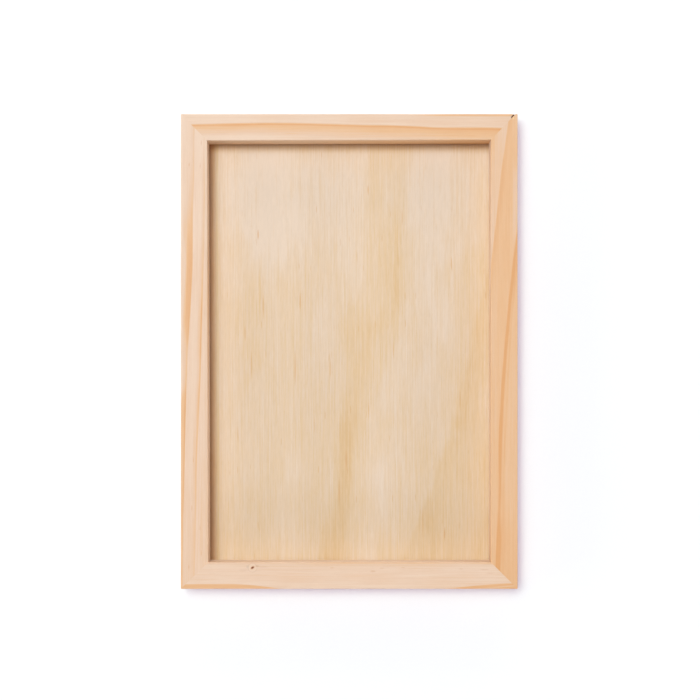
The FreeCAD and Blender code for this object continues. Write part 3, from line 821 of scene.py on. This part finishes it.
    faces = np.concatenate([quads(g) for g in (index[:, :, -1], index[:, :, 0], index[0], index[-1], index[:, 0], index[:, -1])])
    me = bpy.data.meshes.new(name)
    me.from_pydata([tuple(c) for c in verts], [], [tuple(int(i) for i in f) for f in faces])
    me.validate()
    ob = bpy.data.objects.new(name, me)
    bpy.context.scene.collection.objects.link(ob)
    tidy(ob, 34)
    return ob


def tidy(ob, angle):
    """Faces all look outwards, and only real corners are sharp."""
    import bmesh

    bm = bmesh.new()
    bm.from_mesh(ob.data)
    bmesh.ops.recalc_face_normals(bm, faces=bm.faces)
    bm.to_mesh(ob.data)
    bm.free()
    ob.data.polygons.foreach_set("use_smooth", [True] * len(ob.data.polygons))
    ob.data.set_sharp_from_angle(angle=math.radians(angle))
    ob.data.update()


def dress(ob, mat):
    ob.data.materials.clear()
    ob.data.materials.append(mat)


rails = {
    "left": left_pine(),
    "right": right_pine(),
    "top": top_pine(),
    "bottom": bottom_pine(),
}
for i, (side, mat) in enumerate(rails.items()):
    ob = rail_mesh(side + "_rail_wood", side, 500 + i)
    dress(ob, mat)
    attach(ob, "root")
    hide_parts(side + "_rail")

# --------------------------------------------------------- board and fasteners
for node, mat, slot_name in (
    ("inner_veneer", floor_veneer(), "plywood_face"),
    ("core_veneer", core_ply(), "plywood_core"),
    ("outer_veneer", under_veneer(), "plywood_face"),
    ("corner_v_nails", steel("strip_steel", 121, (176, 178, 182), 0.42), "nail_steel"),
    ("panel_pins", steel("bright_steel", 131, (196, 197, 200), 0.34), "pin_steel"),
):
    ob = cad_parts[node]
    ob.data.materials.clear()
    ob.data.materials.append(mat)

# ------------------------------------------------------------------------ stage
def floor():
    me = bpy.data.meshes.new("floor")
    r = 9.0
    ring = [(r * math.cos(2 * math.pi * i / 96), r * math.sin(2 * math.pi * i / 96), 0.0) for i in range(96)]
    me.from_pydata(ring, [], [tuple(range(96))])
    ob = bpy.data.objects.new("floor", me)
    bpy.context.scene.collection.objects.link(ob)
    n = Net("floor_paper")
    x, y, z = n.position()
    grain = n.noise((x, y, z), (0.6, 0.6, 0.6), 201, detail=3.0)
    n.put(n.bsdf.inputs["Base Color"], n.ramp(grain, [(0.0, (0.61, 0.72, 0.62, 1)), (1.0, (0.63, 0.74, 0.64, 1))]))
    n.bsdf.inputs["Roughness"].default_value = 0.9
    n.bsdf.inputs["Specular IOR Level"].default_value = 0.0
    # painted light: the floor glows, lavender near the object and white far off, and its base colour is greener to
    # offset the glow
    # the paper gives off a little light of its own, which keeps shadows on it as light and cool as the photographed ones
    # and far from the object, beyond the lamps' reach, it is lit as white as the rest
    far = n.m("SQRT", n.add(n.mul(x, x), n.mul(y, y)))
    n.put(n.bsdf.inputs["Emission Color"], n.ramp(n.mul(far, 1.0 / 4000.0), [(0.0, (0.210, 0.105, 0.275, 1)), (0.12, (0.210, 0.105, 0.275, 1)),
                                                                            (0.35, (0.62, 0.58, 0.66, 1)), (0.7, (1.0, 1.0, 1.0, 1))]))
    n.bsdf.inputs["Emission Strength"].default_value = 1.0
    me.materials.append(n.mat)
    return ob


floor()


def softbox(name, at, aim, size_x, size_y, watts, colour=(1, 1, 1)):
    light = bpy.data.lights.new(name, "AREA")
    light.shape = "RECTANGLE"
    light.size, light.size_y = size_x, size_y
    light.energy = watts
    light.color = colour
    ob = bpy.data.objects.new(name, light)
    ob.location = at
    d = Vector(aim) - Vector(at)
    ob.rotation_euler = d.to_track_quat("-Z", "Y").to_euler()
    ob.visible_camera = False
    bpy.context.scene.collection.objects.link(ob)
    return ob


softbox("key", (-1.20, 1.04, 6.0), (0, 0, 0.02), 2.44, 1.80, 222.0)
softbox("key_halo", (-1.20, 1.04, 6.0), (0, 0, 0.02), 5.0, 4.6, 164.0)
# four low, warm reflectors light the upright faces
for word, sx, sy, watts in (("right", 1, 0, 15.0), ("left", -1, 0, 17.0), ("near", 0, -1, 13.0), ("far", 0, 1, 17.0)):
    softbox("reflector_" + word, (2.0 * sx, 2.0 * sy, 0.46), (0, 0, 0.02), 2.2, 0.75, watts, (1.0, 0.88, 0.78))

world = bpy.data.worlds.new("studio")
bpy.context.scene.world = world
world.use_nodes = True
wt = world.node_tree
wt.nodes.clear()
w_out = wt.nodes.new("ShaderNodeOutputWorld")
w_bg = wt.nodes.new("ShaderNodeBackground")
w_tc = wt.nodes.new("ShaderNodeTexCoord")
w_sep = wt.nodes.new("ShaderNodeSeparateXYZ")
w_ramp = wt.nodes.new("ShaderNodeValToRGB")
wt.links.new(w_tc.outputs["Generated"], w_sep.inputs[0])
wt.links.new(w_sep.outputs[2], w_ramp.inputs["Fac"])
wt.links.new(w_ramp.outputs["Color"], w_bg.inputs["Color"])
wt.links.new(w_bg.outputs[0], w_out.inputs[0])
r = w_ramp.color_ramp
r.elements[0].position, r.elements[0].color = 0.0, (0.99, 0.99, 1.0, 1)
r.elements[1].position, r.elements[1].color = 0.28, (0.86, 0.86, 0.87, 1)
e = r.elements.new(0.42)
e.color = (0.12, 0.12, 0.12, 1)
e = r.elements.new(1.0)
e.color = (0.10, 0.10, 0.10, 1)
w_bg.inputs["Strength"].default_value = 1.0

# ----------------------------------------------------------------------- camera
cam_data = bpy.data.cameras.new("camera")
cam = bpy.data.objects.new("camera", cam_data)
bpy.context.scene.collection.objects.link(cam)
cam_data.sensor_width = 36.0
cam_data.lens = 89.0
HEIGHT = 1.0785  # above the rails' top faces
VIEW = HEIGHT * 36.0 / cam_data.lens
SHIFT = 0.076
cam_data.shift_x = 0.0
cam_data.shift_y = SHIFT
# the object's centre lands a hair left of the picture's, and 1.5 px below it
cam.location = (0.75 / 700 * VIEW, 1.46 / 700 * VIEW - SHIFT * VIEW, TOP / 1000.0 + HEIGHT)
cam.rotation_euler = (0, 0, 0)
cam_data.clip_start = 0.01
cam_data.clip_end = 50.0
bpy.context.scene.camera = cam

bpy.context.scene.view_settings.view_transform = "Standard"
bpy.context.scene.view_settings.look = "None"
bpy.context.scene.view_settings.exposure = 0.0
bpy.context.scene.view_settings.gamma = 1.0
